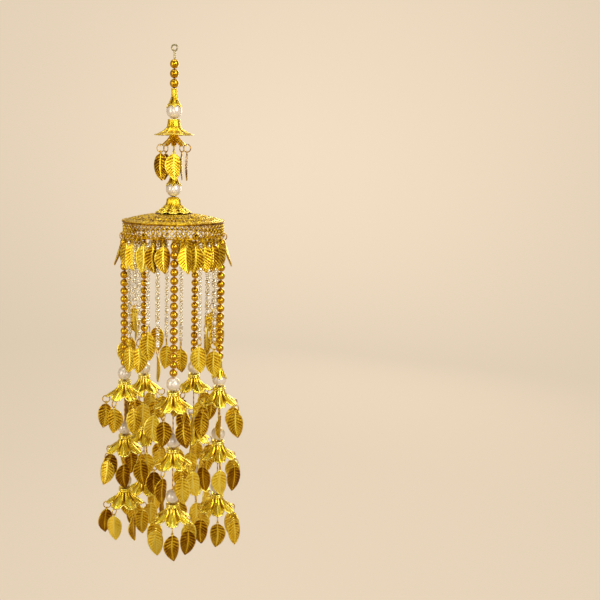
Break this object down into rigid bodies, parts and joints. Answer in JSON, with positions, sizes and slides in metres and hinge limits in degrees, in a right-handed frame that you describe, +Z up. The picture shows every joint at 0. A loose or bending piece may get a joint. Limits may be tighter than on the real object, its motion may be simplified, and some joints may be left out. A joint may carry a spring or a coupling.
{
  "type": "kalire bridal ornament",
  "caption": "Hanging bridal ornament: beaded stem with umbrella cap, round pierced canopy, and bead strands of flower caps with leaf drops.",
  "frame": {"origin": "centre of the eye at the top that the ornament hangs by", "axes": "+Z up along the stem, -Y towards the front as pictured, +X to the right"},
  "size_m": [0.0869, 0.0816, 0.2957],
  "materials": {
    "yellow_gold": "bright yellow gold plate on stamped brass",
    "pale_gold": "pale gold plated wire and fine chain",
    "pearl": "white imitation pearl with a soft sheen"
  },
  "bodies": {
    "root": {"stem_wire": "pale_gold", "top_bead_1": "yellow_gold", "top_bead_2": "yellow_gold", "top_bead_3": "yellow_gold", "upper_trumpet": "yellow_gold", "upper_pearl": "pearl", "umbrella": "yellow_gold", "star": "yellow_gold", "umbrella_leaves": "yellow_gold", "lower_trumpet": "yellow_gold", "lower_pearl": "pearl", "crown": "yellow_gold", "canopy": "yellow_gold", "strand_trumpet_2": "yellow_gold", "rim_leaves_1": "yellow_gold", "rim_leaves_2": "yellow_gold", "rim_leaves_3": "yellow_gold", "rim_leaves_4": "yellow_gold", "rim_leaves_5": "yellow_gold", "thread_1": "pale_gold", "thread_2": "pale_gold", "thread_3": "pale_gold", "thread_4": "pale_gold", "thread_5": "pale_gold", "gold_beads_1": "yellow_gold", "gold_beads_2": "yellow_gold", "gold_beads_3": "yellow_gold", "gold_beads_4": "yellow_gold", "gold_beads_5": "yellow_gold", "pearls_1": "pearl", "pearls_2": "pearl", "pearls_3": "pearl", "pearls_4": "pearl", "pearls_5": "pearl", "flower_cap_1_1": "yellow_gold", "flower_cap_1_2": "yellow_gold", "flower_cap_1_3": "yellow_gold", "flower_cap_2_1": "yellow_gold", "flower_cap_2_2": "yellow_gold", "flower_cap_2_3": "yellow_gold", "flower_cap_3_1": "yellow_gold", "flower_cap_3_2": "yellow_gold", "flower_cap_3_3": "yellow_gold", "flower_cap_4_1": "yellow_gold", "flower_cap_4_2": "yellow_gold", "flower_cap_4_3": "yellow_gold", "flower_cap_5_1": "yellow_gold", "flower_cap_5_2": "yellow_gold", "flower_cap_5_3": "yellow_gold", "cap_leaves_1": "yellow_gold", "cap_leaves_2": "yellow_gold", "cap_leaves_3": "yellow_gold", "cap_leaves_4": "yellow_gold", "cap_leaves_5": "yellow_gold", "inner_chains_1": "pale_gold", "inner_chains_2": "pale_gold", "inner_chains_3": "pale_gold", "inner_chains_4": "pale_gold", "inner_chains_5": "pale_gold"}
  },
  "joints": []
}
